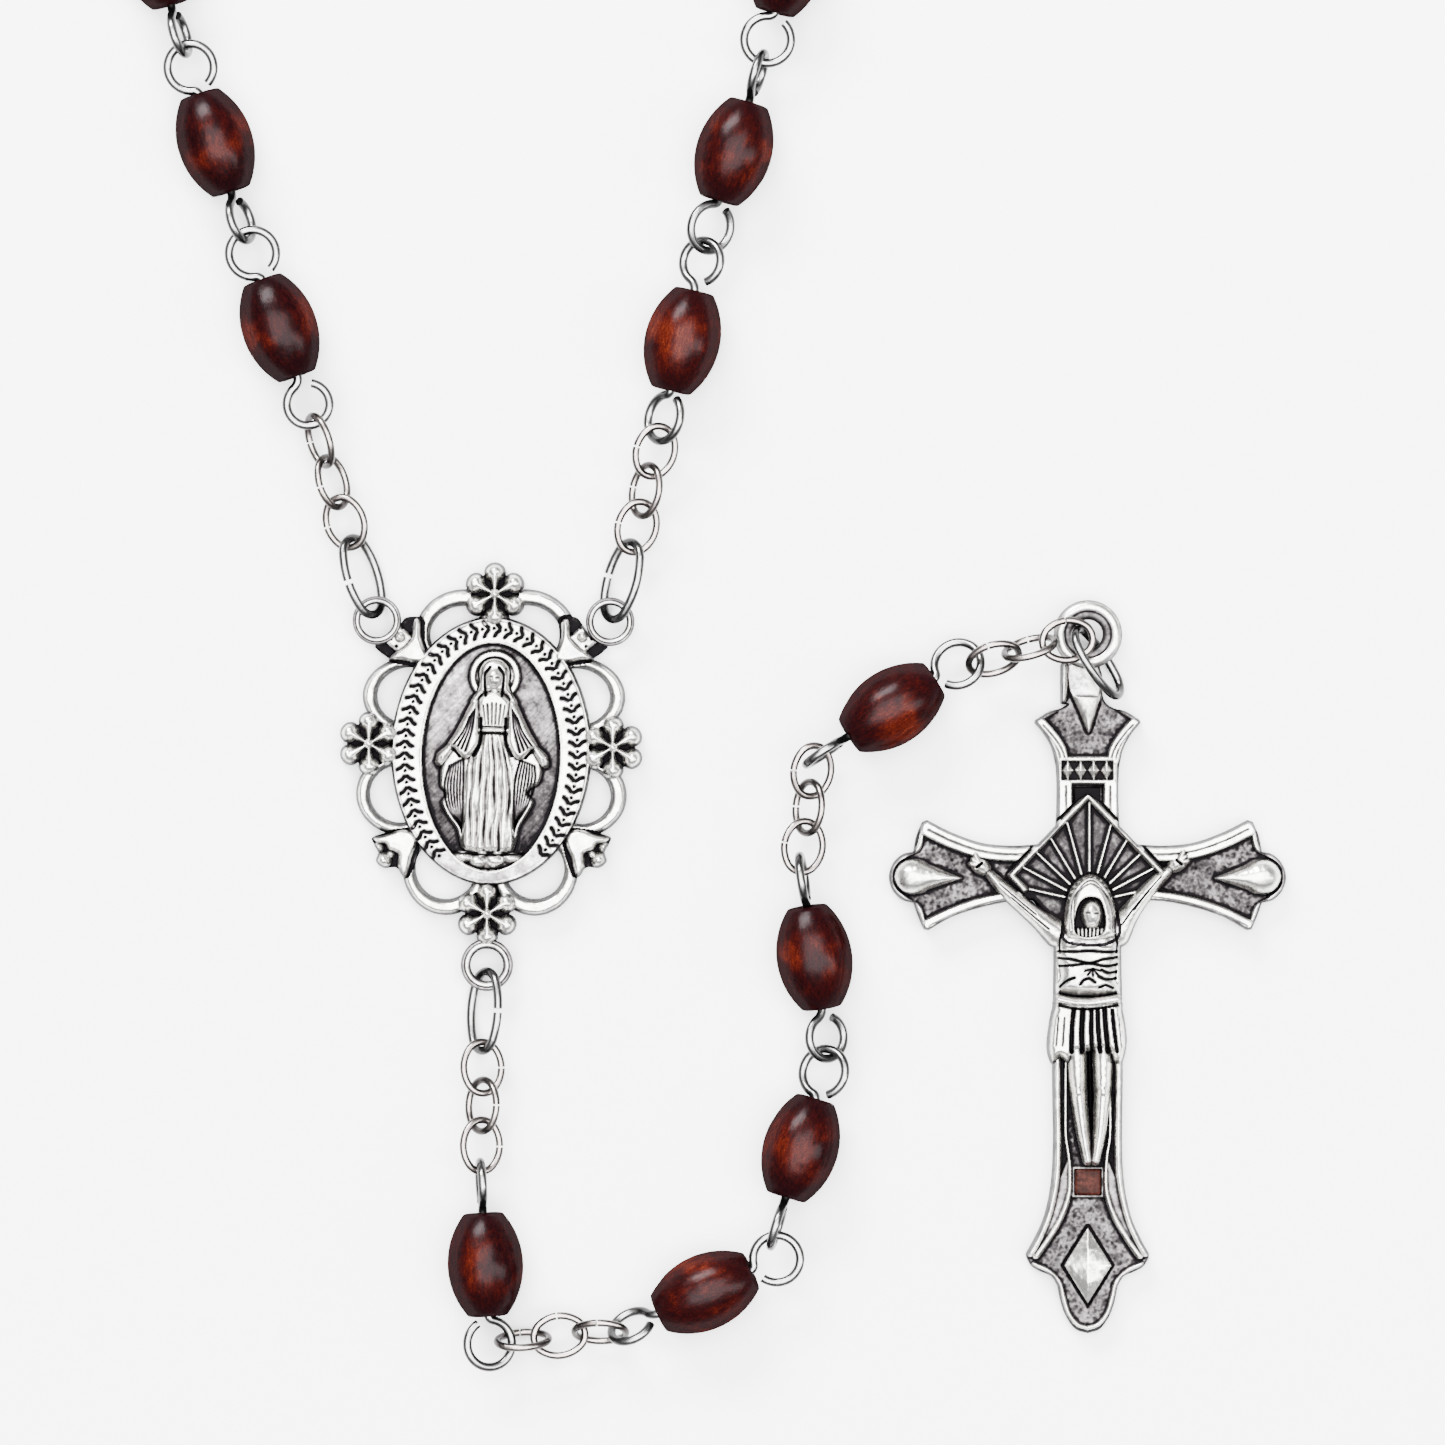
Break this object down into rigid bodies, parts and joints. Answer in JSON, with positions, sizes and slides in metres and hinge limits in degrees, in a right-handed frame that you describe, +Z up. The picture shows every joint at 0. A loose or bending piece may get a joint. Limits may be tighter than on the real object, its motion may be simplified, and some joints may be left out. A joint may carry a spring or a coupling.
{
  "type": "rosary",
  "caption": "Rosary of oval wooden beads on silver eye pins, with an openwork centre medal, a short bead pendant and a flared crucifix on jump rings.",
  "frame": {"origin": "centre of the medal's flat back face, on the table", "axes": "+Z up from the table, +Y from the medal towards the top of the loop, +X to the right of the medal seen from above"},
  "size_m": [0.1686, 0.406, 0.0051],
  "materials": {
    "bead_wood": "dark red-brown stained wood under gloss lacquer",
    "chain_silver": "bright drawn wire with a faintly warm silver plating",
    "antique_silver": "oxidised antique silver, dark in the recesses and bright on raised parts",
    "foot_enamel": "small red-brown polished wood square"
  },
  "bodies": {
    "medal": {"medal": "antique_silver"},
    "left_jump_ring": {"left_jump_ring": "chain_silver"},
    "left_link_1": {"left_link_1": "chain_silver"},
    "left_link_2": {"left_link_2": "chain_silver"},
    "left_link_3": {"left_link_3": "chain_silver"},
    "left_segment_1": {"left_beads_1": "bead_wood", "left_pins_1": "chain_silver"},
    "left_segment_2": {"left_beads_2": "bead_wood", "left_pins_2": "chain_silver"},
    "left_segment_3": {"left_beads_3": "bead_wood", "left_pins_3": "chain_silver"},
    "left_segment_4": {"left_beads_4": "bead_wood", "left_pins_4": "chain_silver"},
    "left_segment_5": {"left_beads_5": "bead_wood", "left_pins_5": "chain_silver"},
    "left_segment_6": {"left_beads_6": "bead_wood", "left_pins_6": "chain_silver"},
    "right_jump_ring": {"right_jump_ring": "chain_silver"},
    "right_link_1": {"right_link_1": "chain_silver"},
    "right_link_2": {"right_link_2": "chain_silver"},
    "right_link_3": {"right_link_3": "chain_silver"},
    "right_segment_1": {"right_beads_1": "bead_wood", "right_pins_1": "chain_silver"},
    "right_segment_2": {"right_beads_2": "bead_wood", "right_pins_2": "chain_silver"},
    "right_segment_3": {"right_beads_3": "bead_wood", "right_pins_3": "chain_silver"},
    "right_segment_4": {"right_beads_4": "bead_wood", "right_pins_4": "chain_silver"},
    "right_segment_5": {"right_beads_5": "bead_wood", "right_pins_5": "chain_silver"},
    "right_segment_6": {"right_beads_6": "bead_wood", "right_pins_6": "chain_silver"},
    "pendant_jump_ring": {"pendant_jump_ring": "chain_silver"},
    "pendant_link_1": {"pendant_link_1": "chain_silver"},
    "pendant_link_2": {"pendant_link_2": "chain_silver"},
    "pendant_link_3": {"pendant_link_3": "chain_silver"},
    "pendant_pin_1": {"pendant_pin_1": "chain_silver"},
    "pendant_bead_1": {"pendant_bead_1": "bead_wood"},
    "pendant_link_4": {"pendant_link_4": "chain_silver"},
    "pendant_link_5": {"pendant_link_5": "chain_silver"},
    "pendant_link_6": {"pendant_link_6": "chain_silver"},
    "pendant_pin_2": {"pendant_pin_2": "chain_silver"},
    "pendant_bead_2": {"pendant_bead_2": "bead_wood"},
    "pendant_pin_3": {"pendant_pin_3": "chain_silver"},
    "pendant_bead_3": {"pendant_bead_3": "bead_wood"},
    "pendant_pin_4": {"pendant_pin_4": "chain_silver"},
    "pendant_bead_4": {"pendant_bead_4": "bead_wood"},
    "pendant_link_7": {"pendant_link_7": "chain_silver"},
    "pendant_link_8": {"pendant_link_8": "chain_silver"},
    "pendant_link_9": {"pendant_link_9": "chain_silver"},
    "pendant_pin_5": {"pendant_pin_5": "chain_silver"},
    "pendant_bead_5": {"pendant_bead_5": "bead_wood"},
    "pendant_link_10": {"pendant_link_10": "chain_silver"},
    "pendant_link_11": {"pendant_link_11": "chain_silver"},
    "pendant_link_12": {"pendant_link_12": "chain_silver"},
    "crucifix_jump_ring": {"crucifix_jump_ring": "chain_silver"},
    "crucifix": {"crucifix": "antique_silver", "foot_inlay": "foot_enamel"}
  },
  "joints": [
    {"name": "left_ring_swing", "type": "hinge", "parent": "medal", "child": "left_jump_ring", "pos_m": [-0.00776, 0.00887, 0.00145], "axis": [0, 0, 1], "range_deg": [0, 25]},
    {"name": "left_link_1_tilt", "type": "hinge", "parent": "left_jump_ring", "child": "left_link_1", "pos_m": [-0.00939, 0.01385, 0.0018], "axis": [0.9069, 0.2477, 0.3409], "range_deg": [-15, 15]},
    {"name": "left_link_2_swing", "type": "hinge", "parent": "left_link_1", "child": "left_link_2", "pos_m": [-0.01021, 0.01658, 0.00204], "axis": [-0.5918, -0.2588, 0.7634], "range_deg": [0, 15]},
    {"name": "left_link_3_swing", "type": "hinge", "parent": "left_link_2", "child": "left_link_3", "pos_m": [-0.01114, 0.01937, 0.00228], "axis": [0.5003, 0.0691, 0.8631], "range_deg": [0, 15]},
    {"name": "left_segment_1_tilt", "type": "hinge", "parent": "left_link_3", "child": "left_segment_1", "pos_m": [-0.0119, 0.02216, 0.00257], "axis": [-0.9385, -0.3453, 0], "range_deg": [-20, 20]},
    {"name": "left_segment_2_swing", "type": "hinge", "parent": "left_segment_1", "child": "left_segment_2", "pos_m": [-0.02068, 0.04727, 0.00257], "axis": [-0.2481, -0.0737, 0.9659], "range_deg": [0, 20]},
    {"name": "left_segment_3_tilt", "type": "hinge", "parent": "left_segment_2", "child": "left_segment_3", "pos_m": [-0.03465, 0.09925, 0.00257], "axis": [0.9546, 0.2422, 0.1736], "range_deg": [-30, 30]},
    {"name": "left_segment_4_swing", "type": "hinge", "parent": "left_segment_3", "child": "left_segment_4", "pos_m": [-0.04985, 0.14958, 0.00266], "axis": [-0.574, -0.0025, 0.8188], "range_deg": [0, 25]},
    {"name": "left_segment_5_tilt", "type": "hinge", "parent": "left_segment_4", "child": "left_segment_5", "pos_m": [-0.07636, 0.24382, 0.00257], "axis": [-0.9544, -0.243, -0.1736], "range_deg": [-30, 30]},
    {"name": "left_segment_6_swing", "type": "hinge", "parent": "left_segment_5", "child": "left_segment_6", "pos_m": [-0.07527, 0.30787, 0.00266], "axis": [-0.4314, 0.3787, 0.8188], "range_deg": [0, 25]},
    {"name": "right_ring_swing", "type": "hinge", "parent": "medal", "child": "right_jump_ring", "pos_m": [0.00808, 0.00878, 0.00145], "axis": [0, 0, 1], "range_deg": [-25, 0]},
    {"name": "right_link_1_tilt", "type": "hinge", "parent": "right_jump_ring", "child": "right_link_1", "pos_m": [0.00945, 0.01352, 0.00181], "axis": [0.9302, -0.2232, -0.2913], "range_deg": [-15, 15]},
    {"name": "right_link_2_swing", "type": "hinge", "parent": "right_link_1", "child": "right_link_2", "pos_m": [0.01014, 0.01597, 0.00203], "axis": [0.6412, -0.2017, 0.7404], "range_deg": [-15, 0]},
    {"name": "right_link_3_tilt", "type": "hinge", "parent": "right_link_2", "child": "right_link_3", "pos_m": [0.01067, 0.01866, 0.00227], "axis": [-0.9262, 0.2394, 0.2913], "range_deg": [-15, 15]},
    {"name": "right_segment_1_swing", "type": "hinge", "parent": "right_link_3", "child": "right_segment_1", "pos_m": [0.01138, 0.02104, 0.00253], "axis": [0.6502, -0.1581, 0.7431], "range_deg": [-15, 0]},
    {"name": "right_segment_2_swing", "type": "hinge", "parent": "right_segment_1", "child": "right_segment_2", "pos_m": [0.01852, 0.04733, 0.00257], "axis": [-0.1661, 0.0508, 0.9848], "range_deg": [-20, 0]},
    {"name": "right_segment_3_tilt", "type": "hinge", "parent": "right_segment_2", "child": "right_segment_3", "pos_m": [0.03334, 0.09771, 0.00257], "axis": [0.946, -0.3121, -0.0872], "range_deg": [-30, 30]},
    {"name": "right_segment_4_swing", "type": "hinge", "parent": "right_segment_3", "child": "right_segment_4", "pos_m": [0.04764, 0.1496, 0.00257], "axis": [-0.1684, 0.0425, 0.9848], "range_deg": [-25, 0]},
    {"name": "right_segment_5_tilt", "type": "hinge", "parent": "right_segment_4", "child": "right_segment_5", "pos_m": [0.07396, 0.24259, 0.00257], "axis": [-0.9489, 0.3033, 0.0872], "range_deg": [-30, 30]},
    {"name": "right_segment_6_swing", "type": "hinge", "parent": "right_segment_5", "child": "right_segment_6", "pos_m": [0.07536, 0.30803, 0.00257], "axis": [-0.1646, -0.0552, 0.9848], "range_deg": [-25, 0]},
    {"name": "pendant_ring_swing", "type": "hinge", "parent": "medal", "child": "pendant_jump_ring", "pos_m": [-0.00029, -0.01452, 0.00145], "axis": [0, 0, 1], "range_deg": [-35, 12]},
    {"name": "pendant_link_1_tilt", "type": "hinge", "parent": "pendant_jump_ring", "child": "pendant_link_1", "pos_m": [-0.00061, -0.01974, 0.00181], "axis": [-0.9401, 0.0132, 0.3407], "range_deg": [-15, 15]},
    {"name": "pendant_link_2_swing", "type": "hinge", "parent": "pendant_link_1", "child": "pendant_link_2", "pos_m": [-0.00054, -0.02231, 0.00203], "axis": [-0.7081, -0.0489, -0.7045], "range_deg": [-8, 15]},
    {"name": "pendant_link_3_tilt", "type": "hinge", "parent": "pendant_link_2", "child": "pendant_link_3", "pos_m": [-0.00058, -0.02502, 0.00227], "axis": [0.9045, -0.0682, -0.421], "range_deg": [-15, 15]},
    {"name": "pendant_pin_1_swing", "type": "hinge", "parent": "pendant_link_3", "child": "pendant_pin_1", "pos_m": [-0.00073, -0.02785, 0.00257], "axis": [0.087, 0.0052, 0.9962], "range_deg": [-25, 8]},
    {"name": "pendant_link_4_swing", "type": "hinge", "parent": "pendant_pin_1", "child": "pendant_link_4", "pos_m": [-0.00008, -0.04018, 0.00257], "axis": [-0.3415, -0.0185, -0.9397], "range_deg": [-8, 25]},
    {"name": "pendant_link_5_tilt", "type": "hinge", "parent": "pendant_link_4", "child": "pendant_link_5", "pos_m": [0.0029, -0.03993, 0.00178], "axis": [0.1386, -0.9865, 0.0872], "range_deg": [-15, 15]},
    {"name": "pendant_link_6_swing", "type": "hinge", "parent": "pendant_link_5", "child": "pendant_link_6", "pos_m": [0.00569, -0.03948, 0.00169], "axis": [-0.1528, 0.495, 0.8554], "range_deg": [-15, 8]},
    {"name": "pendant_pin_2_swing", "type": "hinge", "parent": "pendant_link_6", "child": "pendant_pin_2", "pos_m": [0.0082, -0.03963, 0.00214], "axis": [-0.1969, 0.541, -0.8176], "range_deg": [-8, 12]},
    {"name": "pendant_pin_3_swing", "type": "hinge", "parent": "pendant_pin_2", "child": "pendant_pin_3", "pos_m": [0.01938, -0.03442, 0.0029], "axis": [-0.0555, -0.0259, 0.9981], "range_deg": [-25, 8]},
    {"name": "pendant_pin_4_swing", "type": "hinge", "parent": "pendant_pin_3", "child": "pendant_pin_4", "pos_m": [0.02259, -0.02178, 0.00227], "axis": [0.4344, -0.1848, -0.8815], "range_deg": [-8, 25]},
    {"name": "pendant_link_7_tilt", "type": "hinge", "parent": "pendant_pin_4", "child": "pendant_link_7", "pos_m": [0.02089, -0.00818, 0.00316], "axis": [-0.9442, 0.2076, 0.2556], "range_deg": [-15, 15]},
    {"name": "pendant_link_8_swing", "type": "hinge", "parent": "pendant_link_7", "child": "pendant_link_8", "pos_m": [0.0214, -0.00557, 0.00265], "axis": [0.6403, -0.056, 0.766], "range_deg": [-6, 12]},
    {"name": "pendant_link_9_tilt", "type": "hinge", "parent": "pendant_link_8", "child": "pendant_link_9", "pos_m": [0.02161, -0.00307, 0.00256], "axis": [0.9401, -0.045, -0.3378], "range_deg": [-12, 12]},
    {"name": "pendant_pin_5_swing", "type": "hinge", "parent": "pendant_link_9", "child": "pendant_pin_5", "pos_m": [0.02138, -0.00089, 0.003], "axis": [-0.0031, -0.1066, -0.9943], "range_deg": [-15, 6]},
    {"name": "pendant_link_10_swing", "type": "hinge", "parent": "pendant_pin_5", "child": "pendant_link_10", "pos_m": [0.03165, 0.00591, 0.00224], "axis": [-0.1867, 0.3832, 0.9046], "range_deg": [-6, 12]},
    {"name": "pendant_link_11_swing", "type": "hinge", "parent": "pendant_link_10", "child": "pendant_link_11", "pos_m": [0.03484, 0.00654, 0.00279], "axis": [-0.0707, 0.4186, -0.9054], "range_deg": [-12, 6]},
    {"name": "pendant_link_12_tilt", "type": "hinge", "parent": "pendant_link_11", "child": "pendant_link_12", "pos_m": [0.03739, 0.00731, 0.00304], "axis": [-0.109, 0.9917, 0.0686], "range_deg": [-8, 8]},
    {"name": "crucifix_jump_ring_swing", "type": "hinge", "parent": "pendant_link_12", "child": "crucifix_jump_ring", "pos_m": [0.03965, 0.00808, 0.00274], "axis": [-0.2154, -0.4979, 0.84], "range_deg": [-6, 6]},
    {"name": "pendant_bead_1_spin", "type": "hinge", "parent": "pendant_pin_1", "child": "pendant_bead_1", "pos_m": [-0.00037, -0.03482, 0.00257], "axis": [0.0523, -0.9986, 0.0007], "continuous": true},
    {"name": "pendant_bead_2_spin", "type": "hinge", "parent": "pendant_pin_2", "child": "pendant_bead_2", "pos_m": [0.01451, -0.03668, 0.00257], "axis": [0.9046, 0.4218, 0.0613], "continuous": true},
    {"name": "pendant_bead_3_spin", "type": "hinge", "parent": "pendant_pin_3", "child": "pendant_bead_3", "pos_m": [0.02102, -0.02691, 0.00257], "axis": [0.2919, 0.9548, -0.0563], "continuous": true},
    {"name": "pendant_bead_4_spin", "type": "hinge", "parent": "pendant_pin_4", "child": "pendant_bead_4", "pos_m": [0.02195, -0.01398, 0.00257], "axis": [-0.1474, 0.9861, 0.0764], "continuous": true},
    {"name": "pendant_bead_5_spin", "type": "hinge", "parent": "pendant_pin_5", "child": "pendant_bead_5", "pos_m": [0.02718, 0.00295, 0.00257], "axis": [0.8323, 0.5509, -0.0616], "continuous": true},
    {"name": "crucifix_swing", "type": "hinge", "parent": "crucifix_jump_ring", "child": "crucifix", "pos_m": [0.04052, 0.00792, 0.0017], "axis": [0, 0, 1], "range_deg": [-10, 2]}
  ]
}
